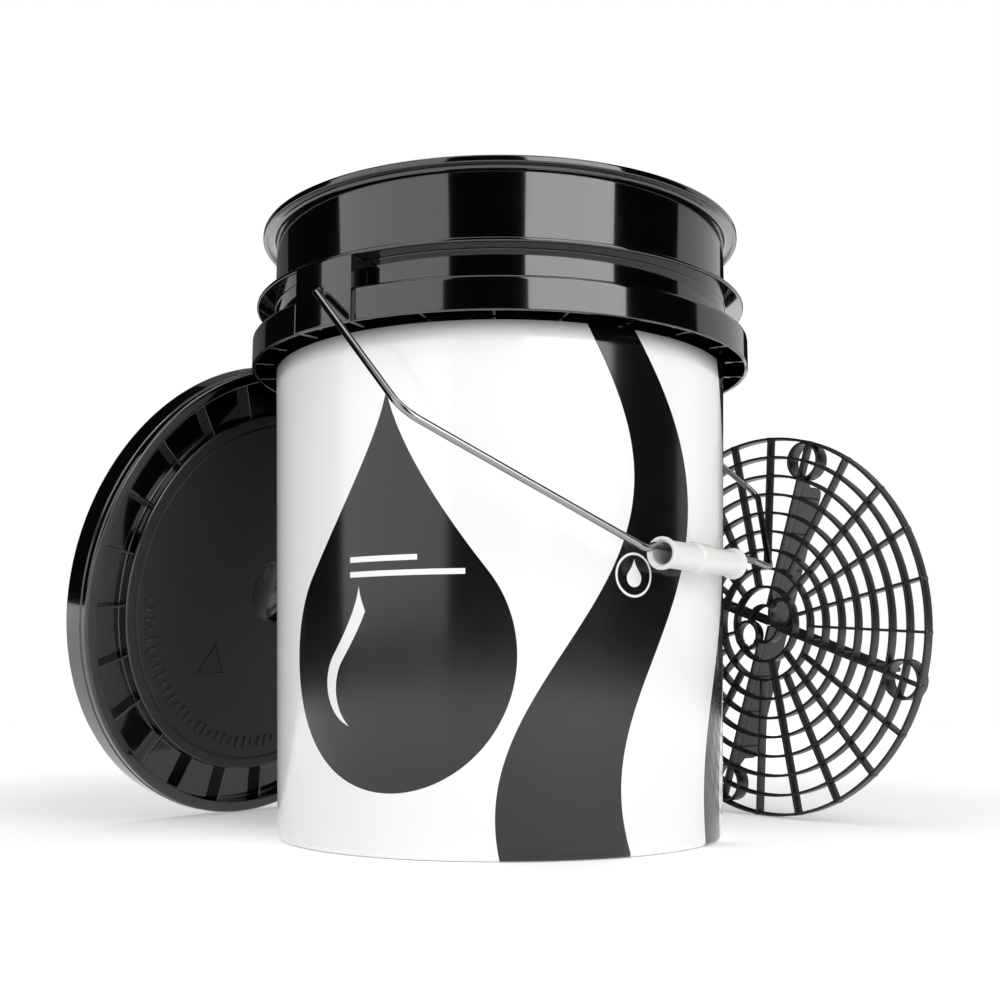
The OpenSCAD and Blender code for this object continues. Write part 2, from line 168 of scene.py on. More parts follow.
class LidSizes(bpy.types.PropertyGroup):
    """Sizes of the lid"""
    radius: length("Radius", "Outer radius of the lid", 157.0 * MM)
    groove: length("Groove", "Outer radius of the ribbed groove", 149.0 * MM)
    panel: length("Panel", "Radius of the flat panel", 126.0 * MM)
    plug: length("Plug", "Radius of the plug under the groove", 139.2 * MM)
    depth: length("Depth", "Depth of the outer skirt", 20.0 * MM)
    groove_depth: length("Groove depth", "Depth of the ribbed groove", 9.0 * MM)
    dimple: length("Dimple", "Radius of the dimple in the middle", 22.0 * MM)
    dimple_depth: length("Dimple depth", "Depth of the dimple in the middle", 6.0 * MM)
    lean: FloatProperty(name="Lean", description="How far the lid leans", default=math.radians(12),
                        subtype="ANGLE")


class GuardSizes(bpy.types.PropertyGroup):
    """Sizes of the grit guard"""
    radius: length("Radius", "Radius of the guard", 130.9 * MM)
    rings: IntProperty(name="Rings", description="Rings in the grid", default=10, min=2)
    spokes: IntProperty(name="Spokes", description="Spokes in the grid", default=24, min=8)
    bar: length("Bar", "Thickness of a bar of the grid", 1.8 * MM)
    bar_height: length("Bar height", "Height of the grid's bars", 7.0 * MM)
    depth: length("Depth", "From the grid's face to the fins' feet", 28.0 * MM)
    fin: length("Fin", "Thickness of a fin", 2.2 * MM)
    finger: length("Finger ring", "Outer radius of a finger ring", 13.0 * MM)
    socket: length("Socket", "Outer radius of a hub socket", 10.4 * MM)


class FinishColours(bpy.types.PropertyGroup):
    """Colours of the finishes"""
    black: colour("Black", "Glossy black polypropylene", "#030303")
    panel: colour("Panel black", "Grained black polypropylene of the lid's panel", "#1b1b1c")
    guard: colour("Guard black", "Satin black polypropylene of the grit guard", "#0c0c0d")
    sleeve: colour("Sleeve white", "White film of the sleeve", "#ebebea")
    ink: colour("Ink", "Charcoal ink on the sleeve", "#0b0b0c")
    zinc: colour("Zinc", "Bright zinc plating", "#929497")
    grip: colour("Grip", "Natural white polyethylene", "#dcdcda")
    rubber: colour("Rubber", "Gasket rubber", "#26272a")
    floor: colour("Floor", "Pale studio floor", "#f2f2f2")


# ---------------------------------------------------------------- mesh tools

def rounded(corners):
    """A closed outline through corners (x, y, radius) in metres, with a short flat kept beside a bend."""
    outline = []
    count = len(corners)
    for i, (x, y, radius) in enumerate(corners):
        here = Vector((x, y))
        if radius == 0:
            outline.append(here)
            continue
        back = Vector(corners[i - 1][:2]) - here
        on = Vector(corners[(i + 1) % count][:2]) - here
        room = min(back.length, on.length) * 0.48
        cut = min(radius / math.tan(back.angle(on) / 2), room)
        hold = min(cut + HOLD * MM, room)
        start = here + back.normalized() * cut
        end = here + on.normalized() * cut
        if hold > cut:
            outline.append(here + back.normalized() * hold)
        for step in range(BEND_STEPS + 1):
            t = step / BEND_STEPS
            outline.append(start * (1 - t) ** 2 + here * 2 * t * (1 - t) + end * t ** 2)
        if hold > cut:
            outline.append(here + on.normalized() * hold)
    return outline


def object_of(name, mesh, material):
    """A linked object with that mesh and material."""
    piece = bpy.data.objects.new(name, mesh)
    bpy.context.scene.collection.objects.link(piece)
    mesh.name = name
    mesh.materials.clear()
    mesh.materials.append(material)
    mesh.shade_smooth()
    return piece


def turn_outline(work, outline, start=0.0, sweep=math.tau, steps=ROUND):
    """Turns a closed outline (radius, height) round the Z axis, with ends on a part turn."""
    full = abs(sweep - math.tau) < 1e-6
    stations = steps if full else steps + 1
    rings = []
    for k in range(stations):
        angle = start + sweep * k / steps
        way = Vector((math.cos(angle), math.sin(angle), 0))
        rings.append([work.verts.new(way * p.x + UP * p.y) for p in outline])
    count = len(outline)
    for k in range(steps):
        near, far = rings[k], rings[(k + 1) % stations]
        for i in range(count):
            j = (i + 1) % count
            if outline[i].x < 1e-7 and outline[j].x < 1e-7:
                continue
            work.faces.new((near[i], far[i], far[j], near[j]))
    if not full:
        work.faces.new(rings[0])
        work.faces.new(list(reversed(rings[-1])))


def closed_mesh(work, place=None):
    """Finishes a bmesh: poles merged, faces turned outwards, moved to its place."""
    bmesh.ops.remove_doubles(work, verts=work.verts, dist=1e-6)
    bmesh.ops.recalc_face_normals(work, faces=work.faces)
    mesh = bpy.data.meshes.new("mesh")
    work.to_mesh(mesh)
    work.free()
    if place:
        mesh.transform(place)
    return mesh


def turned(name, corners, material, place=None, **turn):
    """A piece turned from corners (radius, height, bend) in metres."""
    work = bmesh.new()
    turn_outline(work, rounded(corners), **turn)
    return object_of(name, closed_mesh(work, place), material)


def bevel(piece, width, steps=2, limit=40):
    modifier = piece.modifiers.new("Rounded edges", "BEVEL")
    modifier.width = width
    modifier.segments = steps
    modifier.limit_method = "ANGLE"
    modifier.angle_limit = math.radians(limit)
    modifier.harden_normals = True


def settle(piece, body, slot, *nodes):
    """Puts a piece on its body and hides the CAD nodes that it stands for; its slot is not used."""
    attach(piece, body)
    if nodes:
        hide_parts(*nodes)


# ---------------------------------------------------------------- node tools

def add(tree, kind, *feeds, **settings):
    """Adds a node, with its settings as keywords.

    Feeds are its inputs in order, or one dict by name or number. Each is a value, a node, a socket, or a
    list of nodes for an input that takes several. A bare operation, such as "ADD", is a Math node's.
    """
    if not kind.startswith(("ShaderNode", "GeometryNode", "NodeGroup")):
        settings["operation"], kind = kind, "ShaderNodeMath"
    node = tree.nodes.new(kind)
    for key, value in settings.items():
        setattr(node, key, value)
    named = feeds[0] if feeds and isinstance(feeds[0], dict) else dict(enumerate(feeds))
    for key, value in named.items():
        for one in value if isinstance(value, list) else [value]:
            if isinstance(one, bpy.types.Node):
                tree.links.new(one.outputs[0], node.inputs[key])
            elif isinstance(one, bpy.types.NodeSocket):
                tree.links.new(one, node.inputs[key])
            else:
                node.inputs[key].default_value = one
    return node


def polar(tree, radius, turn, height=0.0):
    """A place at a radius and a turn round the Z axis."""
    return add(tree, "ShaderNodeCombineXYZ", add(tree, "MULTIPLY", radius, add(tree, "COSINE", turn)),
               add(tree, "MULTIPLY", radius, add(tree, "SINE", turn)), height)


def growth_tree(name, inputs):
    """A geometry tree with named inputs; returns the tree and its input node."""
    tree = bpy.data.node_groups.new(name, "GeometryNodeTree")
    tree.interface.new_socket(name="Geometry", in_out="INPUT", socket_type="NodeSocketGeometry")
    for label, kind in inputs.items():
        tree.interface.new_socket(name=label, in_out="INPUT", socket_type="NodeSocket" + kind)
    tree.interface.new_socket(name="Finish", in_out="INPUT", socket_type="NodeSocketMaterial")
    tree.interface.new_socket(name="Geometry", in_out="OUTPUT", socket_type="NodeSocketGeometry")
    return tree, add(tree, "NodeGroupInput")


def close_tree(tree, given, geometry):
    whole = add(tree, "GeometryNodeRealizeInstances", {0: geometry})
    smooth = add(tree, "GeometryNodeSetShadeSmooth", {0: whole})
    finished = add(tree, "GeometryNodeSetMaterial", {"Geometry": smooth, "Material": given.outputs["Finish"]})
    add(tree, "NodeGroupOutput", {0: finished})


def grow(name, tree, values, material, place=None, seed=None):
    """Runs a geometry tree and returns its result as a plain mesh piece."""
    piece = bpy.data.objects.new(name, seed or bpy.data.meshes.new(name))
    bpy.context.scene.collection.objects.link(piece)
    modifier = piece.modifiers.new(tree.name, "NODES")
    modifier.node_group = tree
    values = dict(values, Finish=material)
    for socket in tree.interface.items_tree:
        if socket.in_out == "INPUT" and socket.name in values:
            modifier[socket.identifier] = values[socket.name]
    bpy.context.view_layer.update()
    depsgraph = bpy.context.evaluated_depsgraph_get()
    mesh = bpy.data.meshes.new_from_object(piece.evaluated_get(depsgraph), depsgraph=depsgraph)
    if not mesh.polygons:
        raise RuntimeError(name + " grew no faces")
    piece.modifiers.remove(modifier)
    piece.data = mesh
    mesh.name = name
    if place:
        mesh.transform(place)
    return piece


# ---------------------------------------------------------------- finishes

def per_mm(size):
    """The scale of a pattern whose features are that many millimetres across, on Object coordinates."""
    return 1 / (size * MM)


def finish(name, base, roughness, gloss=None, relief=None, **constants):
    """A Principled material; constants are set on the shader's own sockets.

    gloss is (size, detail, least, most) and lets the roughness wander. relief is (size, detail, strength,
    depth) and gives a bump. Sizes and depths are in millimetres.
    """
    material = bpy.data.materials.new(name)
    material.use_nodes = True
    tree = material.node_tree
    tree.nodes.clear()
    shader = add(tree, "ShaderNodeBsdfPrincipled", {"Base Color": (*base, 1), "Roughness": roughness})
    for label, value in constants.items():
        shader.inputs[label.replace("_", " ")].default_value = value
    add(tree, "ShaderNodeOutputMaterial", {"Surface": shader})
    where = add(tree, "ShaderNodeTexCoord").outputs["Object"]
    if gloss:
        size, detail, least, most = gloss
        patches = add(tree, "ShaderNodeTexNoise", {"Vector": where, "Scale": per_mm(size), "Detail": detail})
        wander = add(tree, "ShaderNodeMapRange", {"Value": patches, "To Min": least, "To Max": most})
        tree.links.new(wander.outputs[0], shader.inputs["Roughness"])
    if relief:
        size, detail, strength, depth = relief
        grain = add(tree, "ShaderNodeTexNoise", {"Vector": where, "Scale": per_mm(size), "Detail": detail})
        bump = add(tree, "ShaderNodeBump", {"Height": grain, "Strength": strength, "Distance": depth * MM})
        tree.links.new(bump.outputs["Normal"], shader.inputs["Normal"])
    return material, tree, shader, where


def gloss_black(colours):
    """Glossy moulded polypropylene: a polished mould leaves crisp reflections that sink waves a little."""
    return finish("Moulded polypropylene, gloss black", colours.black, 0.1,
                  gloss=(34, 3, 0.05, 0.13), relief=(55, 1, 0.05, 0.5),
                  IOR=1.49, Coat_Weight=0.85, Coat_Roughness=0.02, Specular_IOR_Level=0.6)[0]


def panel_black(colours):
    """Spark-eroded polypropylene: the lid's panel has a fine even grain that spreads the light."""
    return finish("Moulded polypropylene, fine grain", colours.panel, 0.5,
                  gloss=(0.9, 4, 0.42, 0.58), relief=(0.9, 4, 0.25, 0.05),
                  IOR=1.49, Specular_IOR_Level=0.55)[0]


def guard_black(colours):
    """Satin moulded polypropylene: flow from the hub's gate leaves faint streaks on the bars."""
    return finish("Moulded polypropylene, satin black", colours.guard, 0.3,
                  gloss=(7, 3, 0.24, 0.4), relief=(1.4, 3, 0.12, 0.06), IOR=1.49, Specular_IOR_Level=0.6)[0]


def zinc_wire(colours):
    """Bright zinc-plated drawn steel: fine drawing lines and a soft mottle in the plating."""
    return finish("Zinc-plated steel wire", colours.zinc, 0.18,
                  gloss=(5, 4, 0.06, 0.15), relief=(0.8, 2, 0.1, 0.03), Metallic=1.0)[0]


def white_grip(colours):
    """Moulded polyethylene: slightly waxy and translucent, with a satin sheen."""
    return finish("Moulded polyethylene, natural white", colours.grip, 0.32,
                  gloss=(9, 3, 0.26, 0.4), relief=(2.5, 2, 0.08, 0.05), IOR=1.51,
                  Subsurface_Weight=0.15, Subsurface_Scale=2 * MM, Coat_Weight=0.3, Coat_Roughness=0.12)[0]


def gasket_rubber(colours):
    """Extruded EPDM rubber: matte, with a dusty bloom."""
    return finish("EPDM rubber, extruded", colours.rubber, 0.75,
                  gloss=(6, 4, 0.65, 0.85), relief=(0.7, 3, 0.2, 0.05))[0]


class Drawing:
    """The print on the sleeve, as shares of ink from 0 to 1, in millimetres round the body and up it."""

    def __init__(self, tree, where, radius):
        self.tree = tree
        place = add(tree, "ShaderNodeSeparateXYZ", {0: where})
        self.up = self.do("MULTIPLY", place.outputs["Z"], 1 / MM)
        back = self.do("MULTIPLY", place.outputs["Y"], -1.0)
        self.turn = self.do("ARCTAN2", place.outputs["X"], back)
        self.radius = radius / MM

    def do(self, operation, *feeds):
        return add(self.tree, operation, *feeds)

    def across(self, degrees):
        """Millimetres round the body from a direction, where the print repeats every half turn."""
        shifted = self.do("SUBTRACT", self.turn, math.radians(degrees))
        return self.do("MULTIPLY", self.do("WRAP", shifted, math.pi / 2, -math.pi / 2), self.radius)

    def inside(self, value, low, high):
        above = self.do("GREATER_THAN", value, low)
        below = self.do("LESS_THAN", value, high)
        return self.do("MULTIPLY", above, below)

    def either(self, a, b):
        return self.do("MAXIMUM", a, b)

    def cut(self, a, b):
        return self.do("MAXIMUM", self.do("SUBTRACT", a, b), 0.0)

    def droplet(self, across, low, radius, tip):
        """A drop: a round foot, and shoulders that draw in to a tip."""
        centre = low + radius
        join = math.radians(38)
        shoulder = centre + radius * math.sin(join)
        rise = self.do("SUBTRACT", self.up, centre)
        far = self.do("SQRT", self.do("ADD", self.do("MULTIPLY", across, across),
                                      self.do("MULTIPLY", rise, rise)))
        foot = self.do("LESS_THAN", far, radius)
        climb = self.do("DIVIDE", self.do("SUBTRACT", self.up, shoulder), tip - shoulder)
        left = self.do("MAXIMUM", self.do("SUBTRACT", 1.0, climb), 0.0)
        power = (tip - shoulder) * math.tan(join) / (radius * math.cos(join))
        half = self.do("MULTIPLY", self.do("POWER", left, power), radius * math.cos(join))
        neck = self.do("MULTIPLY", self.do("LESS_THAN", self.do("ABSOLUTE", across), half),
                       self.inside(self.up, shoulder, tip))
        return self.either(foot, neck)

    def wave(self, degrees, swing, period, lag, width, taper):
        """An S-curved ribbon that runs up the body and gets narrower upwards."""
        angle = self.do("ADD", self.do("MULTIPLY", self.up, math.tau / period), lag)
        drift = self.do("MULTIPLY", self.do("SINE", angle), swing)
        off = self.do("ABSOLUTE", self.do("SUBTRACT", self.across(degrees), drift))
        half = self.do("SUBTRACT", width / 2, self.do("MULTIPLY", self.up, taper))
        return self.do("LESS_THAN", off, half)

    def ring(self, across, height, radius, width):
        rise = self.do("SUBTRACT", self.up, height)
        far = self.do("SQRT", self.do("ADD", self.do("MULTIPLY", across, across),
                                      self.do("MULTIPLY", rise, rise)))
        return self.inside(far, radius - width, radius)


def sleeve_film(colours):
    """Printed satin film: flat white and charcoal ink under a soft clear varnish."""
    material, tree, shader, where = finish(
        "Printed film, satin varnish", colours.sleeve, 0.17, gloss=(12, 3, 0.14, 0.2),
        relief=(1.2, 2, 0.04, 0.03), IOR=1.5, Coat_Weight=0.35, Coat_Roughness=0.12)
    tub = bpy.context.scene.wash_tub
    draw = Drawing(tree, where, (tub.base + tub.shoulder) / 2)
    # directions are in degrees round from the front, and sizes in millimetres
    side = draw.across(-26)
    drop = draw.droplet(side, 33, 71, 248)
    shine = draw.droplet(draw.do("ADD", side, 18.0), 66, 24, 142)
    shine = draw.cut(shine, draw.droplet(draw.do("ADD", side, 10.0), 62, 25, 140))
    rule = draw.do("MULTIPLY", draw.inside(side, -24, 44), draw.inside(draw.up, 146, 149))
    short = draw.do("MULTIPLY", draw.inside(side, -24, 18), draw.inside(draw.up, 154, 157))
    marks = draw.either(rule, short)
    drop = draw.cut(draw.cut(drop, marks), shine)
    ribbons = draw.either(draw.wave(27, 32, 330, -2.1, 74, 0.08), draw.wave(74, 24, 330, -2.1, 30, 0.0))
    badge_at = draw.across(31.5)
    badge = draw.either(draw.ring(badge_at, 147, 12, 1.3), draw.droplet(badge_at, 140.5, 4.8, 156))
    ribbons = draw.cut(ribbons, badge)
    ink = draw.either(drop, ribbons)
    blend = add(tree, "ShaderNodeMix", {"Factor": ink}, data_type="RGBA")
    blend.inputs["A"].default_value = (*colours.sleeve, 1)
    blend.inputs["B"].default_value = (*colours.ink, 1)
    tree.links.new(blend.outputs["Result"], shader.inputs["Base Color"])
    return material


def floor_paint(colours):
    """Matt studio paint: plain and pale, rolled on with a faint stipple."""
    material, tree, shader, where = finish(
        "Studio paint, matt", colours.floor, 0.8, relief=(4, 2, 0.03, 0.1), Emission_Color=(1, 1, 1, 1))
    out = add(tree, "ShaderNodeVectorMath", where, operation="LENGTH")
    # the floor glows more with distance, so its far edge melts into the white behind it
    glow = add(tree, "ShaderNodeMapRange", {
        "Value": out.outputs["Value"], "From Min": 0.4, "From Max": 1.4, "To Min": 0.35, "To Max": 1.0})
    tree.links.new(glow.outputs[0], shader.inputs["Emission Strength"])
    return material


# ---------------------------------------------------------------- geometry trees

def rib_tree():
    """Flat upright ribs round the Z axis, left out near the two ends of one diameter."""
    tree, given = growth_tree("Ribs round an axis", {
        "Count": "Int", "Inner radius": "Float", "Length": "Float", "Thickness": "Float",
        "Height": "Float", "Foot": "Float", "Turn": "Float", "Free angle": "Float"})
    take = given.outputs
    index = add(tree, "GeometryNodeInputIndex")
    step = add(tree, "DIVIDE", math.tau, take["Count"])
    own = add(tree, "MULTIPLY", add(tree, "ADD", index, 0.5), step)
    turn = add(tree, "ADD", own, take["Turn"])
    from_end = add(tree, "ABSOLUTE", add(tree, "WRAP", own, math.pi / 2, -math.pi / 2))
    radius = add(tree, "MULTIPLY_ADD", take["Length"], 0.5, take["Inner radius"])
    height = add(tree, "MULTIPLY_ADD", take["Height"], 0.5, take["Foot"])
    place = polar(tree, radius, turn, height)
    points = add(tree, "GeometryNodePoints", {"Count": take["Count"], "Position": place})
    size = add(tree, "ShaderNodeCombineXYZ", take["Length"], take["Thickness"], take["Height"])
    rib = add(tree, "GeometryNodeMeshCube", {"Size": size})
    ribs = add(tree, "GeometryNodeInstanceOnPoints", {
        "Points": points, "Instance": rib.outputs["Mesh"],
        "Selection": add(tree, "GREATER_THAN", from_end, take["Free angle"]),
        "Rotation": add(tree, "ShaderNodeCombineXYZ", {"Z": turn})})
    close_tree(tree, given, ribs)
    return tree


def mark_tree():
    """A row of short raised bars along an arc, in a steady rhythm of two lengths, and a raised triangle."""
    tree, given = growth_tree("Raised marks", {
        "Count": "Int", "Radius": "Float", "First angle": "Float", "Sweep": "Float", "Height": "Float",
        "Base": "Float"})
    take = given.outputs
    index = add(tree, "GeometryNodeInputIndex")
    share = add(tree, "DIVIDE", index, take["Count"])
    turn = add(tree, "MULTIPLY_ADD", share, take["Sweep"], take["First angle"])
    middle_z = add(tree, "MULTIPLY_ADD", take["Height"], 0.5, take["Base"])
    place = polar(tree, take["Radius"], turn, middle_z)
    points = add(tree, "GeometryNodePoints", {"Count": take["Count"], "Position": place})
    size = add(tree, "ShaderNodeCombineXYZ", {"X": 8 * MM, "Y": 1.6 * MM, "Z": take["Height"]})
    bar = add(tree, "GeometryNodeMeshCube", {"Size": size})
    every_third = add(tree, "LESS_THAN", add(tree, "MODULO", index, 3.0), 0.5)
    long_scale = add(tree, "MULTIPLY_ADD", every_third, -0.45, 1.0)
    bars = add(tree, "GeometryNodeInstanceOnPoints", {
        "Points": points, "Instance": bar.outputs["Mesh"],
        "Rotation": add(tree, "ShaderNodeCombineXYZ", {"Z": turn}),
        "Scale": add(tree, "ShaderNodeCombineXYZ", {"X": long_scale, "Y": 1.0, "Z": 1.0})})
    side = add(tree, "GeometryNodeMeshCircle", {"Vertices": 3, "Radius": 13 * MM})
    spot = add(tree, "ShaderNodeCombineXYZ", {"X": -46 * MM, "Y": -52 * MM, "Z": middle_z})
    moved = add(tree, "GeometryNodeTransform", {
        "Geometry": side, "Translation": spot, "Rotation": (0.0, 0.0, math.radians(90))})
    triangle = swept(tree, moved, bar_profile(tree, 1.6 * MM, take["Height"], 0.2 * MM))
    close_tree(tree, given, add(tree, "GeometryNodeJoinGeometry", [bars, triangle]))
    return tree


def bar_profile(tree, width, height, bend):
    outline = add(tree, "GeometryNodeCurvePrimitiveQuadrilateral", {"Width": width, "Height": height})
    return add(tree, "GeometryNodeFilletCurve",
               {"Curve": outline, "Count": 3, "Radius": bend}, mode="POLY")


def swept(tree, lines, profile):
    """Edges made into bars with that profile, its height along Z."""
    curve = add(tree, "GeometryNodeMeshToCurve", {0: lines})
    upright = add(tree, "GeometryNodeSetCurveNormal", curve, mode="Z_UP")
    return add(tree, "GeometryNodeCurveToMesh",
               {"Curve": upright, "Profile Curve": profile, "Fill Caps": True})


def grid_tree():
    """Rings and spokes, with finger rings near the edge and sockets at the hub."""
    tree, given = growth_tree("Guard grid", {
        "Radius": "Float", "Rings": "Int", "Spokes": "Int", "Bar": "Float", "Bar height": "Float",
        "Finger radius": "Float", "Finger height": "Float", "Socket radius": "Float"})
    take = given.outputs
    index = add(tree, "GeometryNodeInputIndex")
    step = add(tree, "DIVIDE", add(tree, "SUBTRACT", take["Radius"], 1 * MM), take["Rings"])
    middle_z = add(tree, "MULTIPLY", take["Bar height"], -0.5)
    level = add(tree, "ShaderNodeCombineXYZ", {"Z": middle_z})

    hoop = add(tree, "GeometryNodeMeshCircle", {"Vertices": 160, "Radius": 1.0})
    nest = add(tree, "GeometryNodePoints", {"Count": take["Rings"], "Position": level})
    size = add(tree, "MULTIPLY", add(tree, "ADD", index, 1.0), step)
    rings = add(tree, "GeometryNodeInstanceOnPoints", {"Points": nest, "Instance": hoop, "Scale": size})

    quarter = add(tree, "DIVIDE", take["Spokes"], 4.0)
    place = add(tree, "MODULO", index, quarter)
    odd = add(tree, "MODULO", place, 2.0)
    main = add(tree, "COMPARE", place, 0.0, 0.1)
    first = add(tree, "SUBTRACT", add(tree, "ADD", odd, 2.0), main)
    start = add(tree, "MULTIPLY", first, step)
    reach = add(tree, "SUBTRACT", add(tree, "SUBTRACT", take["Radius"], 1 * MM), start)
    turn = add(tree, "MULTIPLY", index, add(tree, "DIVIDE", math.tau, take["Spokes"]))
    foot = polar(tree, start, turn, middle_z)
    feet = add(tree, "GeometryNodePoints", {"Count": take["Spokes"], "Position": foot})
    line = add(tree, "GeometryNodeMeshLine", {"Count": 2, "Offset": (1.0, 0.0, 0.0)})
    around = add(tree, "ShaderNodeCombineXYZ", {"Z": turn})
    spokes = add(tree, "GeometryNodeInstanceOnPoints", {
        "Points": feet, "Instance": line, "Rotation": around,
        "Scale": add(tree, "ShaderNodeCombineXYZ", {"X": reach, "Y": 1.0, "Z": 1.0})})

    lines = add(tree, "GeometryNodeJoinGeometry", [rings, spokes])
    real = add(tree, "GeometryNodeRealizeInstances", lines)

    # the two sockets beside the hub stay open, so the rings stop at their walls
    near = add(tree, "MULTIPLY", step, 1.3)
    cup_r = add(tree, "SUBTRACT", take["Socket radius"], 1 * MM)
    where = add(tree, "GeometryNodeInputPosition")
    covered = []
    for side in (-math.pi / 4, math.pi * 3 / 4):
        from_socket = add(tree, "ShaderNodeVectorMath", where, polar(tree, near, side, middle_z),
                          operation="DISTANCE")
        covered.append(add(tree, "LESS_THAN", from_socket.outputs["Value"], cup_r))
    kept = add(tree, "GeometryNodeDeleteGeometry",
               {"Geometry": real, "Selection": add(tree, "ADD", *covered)}, domain="POINT")
    bars = swept(tree, kept, bar_profile(tree, take["Bar"], take["Bar height"], 0.35 * MM))

    # small lugs where the spokes meet the outer ring
    lug_r = add(tree, "SUBTRACT", take["Radius"], 0.7 * MM)
    ends = add(tree, "GeometryNodePoints",
               {"Count": take["Spokes"], "Position": polar(tree, lug_r, turn, middle_z)})
    lug_size = add(tree, "ShaderNodeCombineXYZ", {"X": 1.5 * MM, "Y": 2.6 * MM, "Z": take["Bar height"]})
    lug = add(tree, "GeometryNodeMeshCube", {"Size": lug_size})
    lugs = add(tree, "GeometryNodeInstanceOnPoints",
               {"Points": ends, "Instance": lug.outputs["Mesh"], "Rotation": around})

    # four finger rings on the ring before the last
    far = add(tree, "MULTIPLY", step, 9.0)
    quarter_turn = add(tree, "MULTIPLY", index, math.pi / 2)
    spot = polar(tree, far, quarter_turn, add(tree, "MULTIPLY", take["Finger height"], -0.5))
    spots = add(tree, "GeometryNodePoints", {"Count": 4, "Position": spot})
    loop_r = add(tree, "SUBTRACT", take["Finger radius"], 0.8 * MM)
    loop = add(tree, "GeometryNodeMeshCircle", {"Vertices": 64, "Radius": loop_r})
    loops = add(tree, "GeometryNodeInstanceOnPoints", {"Points": spots, "Instance": loop})
    fingers = swept(tree, add(tree, "GeometryNodeRealizeInstances", {0: loops}),
                    bar_profile(tree, 1.6 * MM, take["Finger height"], 0.4 * MM))

    # two sockets beside the hub, each with a row of small teeth inside
    side = add(tree, "ADD", add(tree, "MULTIPLY", index, math.pi), -math.pi / 4)
    hubs = add(tree, "GeometryNodePoints", {"Count": 2, "Position": polar(tree, near, side, middle_z)})
    cup = add(tree, "GeometryNodeMeshCircle", {"Vertices": 64, "Radius": cup_r})
    cups = add(tree, "GeometryNodeInstanceOnPoints", {"Points": hubs, "Instance": cup})
    sockets = swept(tree, add(tree, "GeometryNodeRealizeInstances", {0: cups}),
                    bar_profile(tree, 2 * MM, take["Bar height"], 0.4 * MM))
    tooth_turn = add(tree, "MULTIPLY", index, math.tau / 12)
    tooth_r = add(tree, "SUBTRACT", take["Socket radius"], 2.1 * MM)
    row = add(tree, "GeometryNodePoints", {"Count": 5, "Position": polar(tree, tooth_r, tooth_turn)})
    tooth_height = add(tree, "MULTIPLY", take["Bar height"], 0.8)
    tooth_size = add(tree, "ShaderNodeCombineXYZ", 1.4 * MM, 1.2 * MM, tooth_height)
    tooth = add(tree, "GeometryNodeMeshCube", {"Size": tooth_size})
    teeth = add(tree, "GeometryNodeInstanceOnPoints", {
        "Points": row, "Instance": tooth.outputs["Mesh"],
        "Rotation": add(tree, "ShaderNodeCombineXYZ", {"Z": tooth_turn})})
    all_teeth = add(tree, "GeometryNodeInstanceOnPoints", {
        "Points": hubs, "Instance": teeth,
        "Rotation": add(tree, "ShaderNodeCombineXYZ", {"Z": side})})

    whole = add(tree, "GeometryNodeJoinGeometry", [bars, lugs, fingers, sockets, all_teeth])
    close_tree(tree, given, whole)
    return tree


def wire_tree():
    """A round wire along the edges of the mesh that it is given."""
    tree, given = growth_tree("Bent wire", {"Wire radius": "Float"})
    path = add(tree, "GeometryNodeMeshToCurve", {0: given.outputs["Geometry"]})
    section = add(tree, "GeometryNodeCurvePrimitiveCircle",
                  {"Resolution": 24, "Radius": given.outputs["Wire radius"]})
    wire = add(tree, "GeometryNodeCurveToMesh",
               {"Curve": path, "Profile Curve": section.outputs["Curve"], "Fill Caps": True})
    close_tree(tree, given, wire)
    return tree


# ---------------------------------------------------------------- bucket

def foot_arc(tub, thickness, first, last, steps=10):
    """Points round the body's lower corner, outside it by a thickness."""
    bend = 3 * MM
    centre = Vector((body_radius(tub, bend) - bend, bend))
    turns = [math.radians(first + (last - first) * i / steps) for i in range(steps + 1)]
    return [centre + Vector((math.cos(t), math.sin(t))) * (bend + thickness) for t in turns]


def body_radius(tub, height):
    return tub.base + (tub.shoulder - tub.base) * height / (tub.height - tub.skirt_drop)


def tub_corners(tub):
    """The pail's outline: outside from the base up to the rim, then down the inside to the floor."""
    neck = tub.bore + tub.neck_wall
    top = tub.height
    shoulder_z = top - tub.skirt_drop
    flange_z = top - tub.flange_drop
    inside = tub.shoulder - tub.body_wall
    flange_t, floor_t = 2.6 * MM, 3 * MM
    lip_z, turn_z, turn_in = top - 2.2 * MM, top - 4.2 * MM, tub.rim - 2.6 * MM    # the turned edge
    ring_in, ring_out = tub.base - 37.1 * MM, tub.base - 19.1 * MM                # the foot ring
    corners = [(0, 0, 0), (ring_in, 0, 0.8 * MM), (ring_in + 1 * MM, 1.2 * MM, 0.8 * MM),
               (ring_out - 1 * MM, 1.2 * MM, 0.8 * MM), (ring_out, 0, 0.8 * MM)]
    corners += [(tub.base, 0, 3 * MM), (tub.shoulder, shoulder_z, 0),
                (tub.shoulder, shoulder_z + 5 * MM, 2 * MM), (neck, shoulder_z + 9 * MM, 2 * MM),
                (neck, flange_z, 0.6 * MM), (tub.flange, flange_z, 1.2 * MM),
                (tub.flange, flange_z + flange_t, 1.2 * MM), (neck + 1.6 * MM, flange_z + 3.0 * MM, 1.2 * MM),
                (neck, flange_z + 4.8 * MM, 1.2 * MM), (neck, lip_z, 3.4 * MM), (turn_in, lip_z, 0.4 * MM),
                (turn_in, turn_z, 1.2 * MM), (tub.rim, turn_z, 1.2 * MM), (tub.rim, top, 1.4 * MM),
                (tub.bore, top, 1.8 * MM),
                (tub.bore, shoulder_z + 7 * MM, 2 * MM), (inside, shoulder_z + 3 * MM, 2 * MM),
                (inside, shoulder_z, 0), (body_radius(tub, floor_t) - tub.body_wall, floor_t, 3 * MM),
                (0, floor_t, 0)]
    return corners


